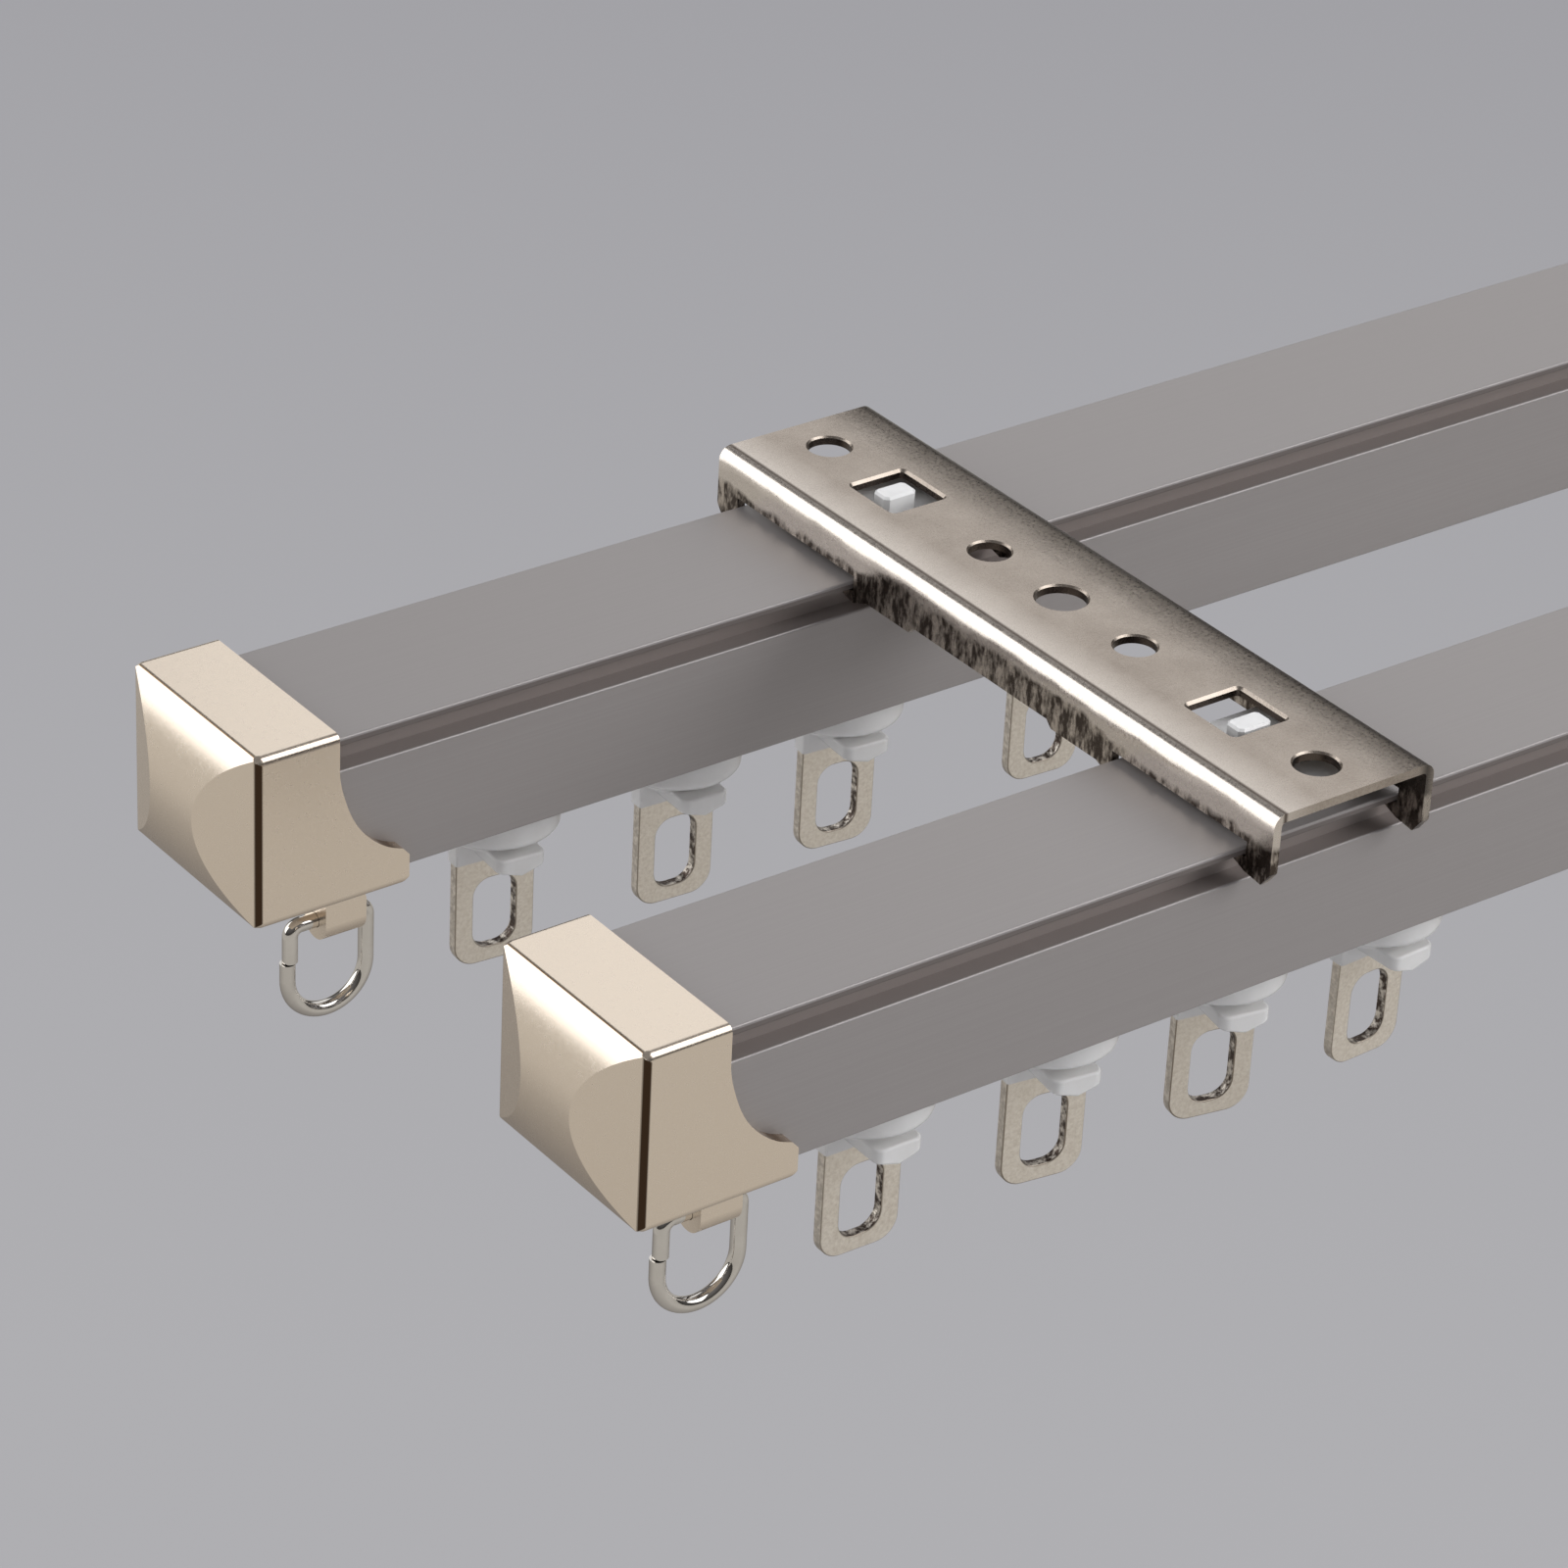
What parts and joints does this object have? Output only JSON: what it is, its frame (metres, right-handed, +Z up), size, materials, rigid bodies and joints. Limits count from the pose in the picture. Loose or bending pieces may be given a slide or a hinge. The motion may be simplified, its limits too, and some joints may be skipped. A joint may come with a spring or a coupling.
{
  "type": "double curtain track",
  "caption": "Ceiling curtain track with two parallel aluminium rails in bent metal brackets, champagne end caps with wire rings, and gliding runners with swivelling eye plates",
  "frame": {"origin": "centre of the left bracket's ceiling face", "axes": "+X along the rails, +Y across them to the rear rail, +Z up"},
  "size_m": [0.6074, 0.0936, 0.0454],
  "materials": {
    "anodised": "brushed",
    "champagne": "satin",
    "wire": "polished",
    "nickel": "satin",
    "white_plastic": "gloss",
    "clear_plastic": "gloss",
    "satin_metal": "satin"
  },
  "bodies": {
    "track": {"front_rail": "anodised", "rear_rail": "anodised", "cap_front_left": "champagne", "cap_front_right": "champagne", "cap_rear_left": "champagne", "cap_rear_right": "champagne", "bracket_left": "nickel", "bracket_right": "nickel", "lock_front_left": "white_plastic", "lock_front_right": "white_plastic", "lock_rear_left": "white_plastic", "lock_rear_right": "white_plastic"},
    "runner_front_1": {"glider_front_1": "clear_plastic"},
    "hanger_front_1": {"swivel_front_1": "clear_plastic", "eye_plate_front_1": "satin_metal"},
    "runner_front_2": {"glider_front_2": "clear_plastic"},
    "hanger_front_2": {"swivel_front_2": "clear_plastic", "eye_plate_front_2": "satin_metal"},
    "runner_front_3": {"glider_front_3": "clear_plastic"},
    "hanger_front_3": {"swivel_front_3": "clear_plastic", "eye_plate_front_3": "satin_metal"},
    "runner_front_4": {"glider_front_4": "clear_plastic"},
    "hanger_front_4": {"swivel_front_4": "clear_plastic", "eye_plate_front_4": "satin_metal"},
    "loop_front_left": {"ring_front_left": "wire"},
    "loop_front_right": {"ring_front_right": "wire"},
    "runner_rear_1": {"glider_rear_1": "clear_plastic"},
    "hanger_rear_1": {"swivel_rear_1": "clear_plastic", "eye_plate_rear_1": "satin_metal"},
    "runner_rear_2": {"glider_rear_2": "clear_plastic"},
    "hanger_rear_2": {"swivel_rear_2": "clear_plastic", "eye_plate_rear_2": "satin_metal"},
    "runner_rear_3": {"glider_rear_3": "clear_plastic"},
    "hanger_rear_3": {"swivel_rear_3": "clear_plastic", "eye_plate_rear_3": "satin_metal"},
    "runner_rear_4": {"glider_rear_4": "clear_plastic"},
    "hanger_rear_4": {"swivel_rear_4": "clear_plastic", "eye_plate_rear_4": "satin_metal"},
    "loop_rear_left": {"ring_rear_left": "wire"},
    "loop_rear_right": {"ring_rear_right": "wire"}
  },
  "joints": [
    {"name": "slide_front_4", "type": "slide", "parent": "track", "child": "runner_front_4", "axis": [1, 0, 0], "range_m": [-0.025, 0.455]},
    {"name": "slide_front_3", "type": "slide", "parent": "track", "child": "runner_front_3", "axis": [1, 0, 0], "range_m": [-0.01875, 0.34125]},
    {"name": "slide_front_2", "type": "slide", "parent": "track", "child": "runner_front_2", "axis": [1, 0, 0], "range_m": [-0.0125, 0.2275]},
    {"name": "slide_front_1", "type": "slide", "parent": "track", "child": "runner_front_1", "axis": [1, 0, 0], "range_m": [-0.00625, 0.11375]},
    {"name": "swivel_front_1", "type": "hinge", "parent": "runner_front_1", "child": "hanger_front_1", "pos_m": [-0.0485, -0.0325, -0.0289], "axis": [0, 0, 1], "continuous": true},
    {"name": "swivel_front_2", "type": "hinge", "parent": "runner_front_2", "child": "hanger_front_2", "pos_m": [-0.0252, -0.0325, -0.0289], "axis": [0, 0, 1], "continuous": true},
    {"name": "swivel_front_3", "type": "hinge", "parent": "runner_front_3", "child": "hanger_front_3", "pos_m": [-0.0029, -0.0325, -0.0289], "axis": [0, 0, 1], "continuous": true},
    {"name": "swivel_front_4", "type": "hinge", "parent": "runner_front_4", "child": "hanger_front_4", "pos_m": [0.0184, -0.0325, -0.0289], "axis": [0, 0, 1], "continuous": true},
    {"name": "ring_hinge_front_left", "type": "hinge", "parent": "track", "child": "loop_front_left", "pos_m": [-0.068, -0.0325, -0.0332], "axis": [1, 0, 0], "range_deg": [-120, 120]},
    {"name": "ring_hinge_front_right", "type": "hinge", "parent": "track", "child": "loop_front_right", "pos_m": [0.5, -0.0325, -0.0332], "axis": [1, 0, 0], "range_deg": [-120, 120]},
    {"name": "slide_rear_4", "type": "slide", "parent": "track", "child": "runner_rear_4", "axis": [1, 0, 0], "range_m": [-0.025, 0.455]},
    {"name": "slide_rear_3", "type": "slide", "parent": "track", "child": "runner_rear_3", "axis": [1, 0, 0], "range_m": [-0.01875, 0.34125]},
    {"name": "slide_rear_2", "type": "slide", "parent": "track", "child": "runner_rear_2", "axis": [1, 0, 0], "range_m": [-0.0125, 0.2275]},
    {"name": "slide_rear_1", "type": "slide", "parent": "track", "child": "runner_rear_1", "axis": [1, 0, 0], "range_m": [-0.00625, 0.11375]},
    {"name": "swivel_rear_1", "type": "hinge", "parent": "runner_rear_1", "child": "hanger_rear_1", "pos_m": [-0.049, 0.0325, -0.0289], "axis": [0, 0, 1], "continuous": true},
    {"name": "swivel_rear_2", "type": "hinge", "parent": "runner_rear_2", "child": "hanger_rear_2", "pos_m": [-0.0253, 0.0325, -0.0289], "axis": [0, 0, 1], "continuous": true},
    {"name": "swivel_rear_3", "type": "hinge", "parent": "runner_rear_3", "child": "hanger_rear_3", "pos_m": [-0.0032, 0.0325, -0.0289], "axis": [0, 0, 1], "continuous": true},
    {"name": "swivel_rear_4", "type": "hinge", "parent": "runner_rear_4", "child": "hanger_rear_4", "pos_m": [0.0263, 0.0325, -0.0289], "axis": [0, 0, 1], "continuous": true},
    {"name": "ring_hinge_rear_left", "type": "hinge", "parent": "track", "child": "loop_rear_left", "pos_m": [-0.06985, 0.0325, -0.0332], "axis": [1, 0, 0], "range_deg": [-120, 120]},
    {"name": "ring_hinge_rear_right", "type": "hinge", "parent": "track", "child": "loop_rear_right", "pos_m": [0.49815, 0.0325, -0.0332], "axis": [1, 0, 0], "range_deg": [-120, 120]}
  ],
  "couplings": [
    {"joint": "slide_front_1", "follows": "slide_front_4", "ratio": 0.25},
    {"joint": "slide_front_2", "follows": "slide_front_4", "ratio": 0.5},
    {"joint": "slide_front_3", "follows": "slide_front_4", "ratio": 0.75},
    {"joint": "slide_rear_1", "follows": "slide_rear_4", "ratio": 0.25},
    {"joint": "slide_rear_2", "follows": "slide_rear_4", "ratio": 0.5},
    {"joint": "slide_rear_3", "follows": "slide_rear_4", "ratio": 0.75}
  ]
}
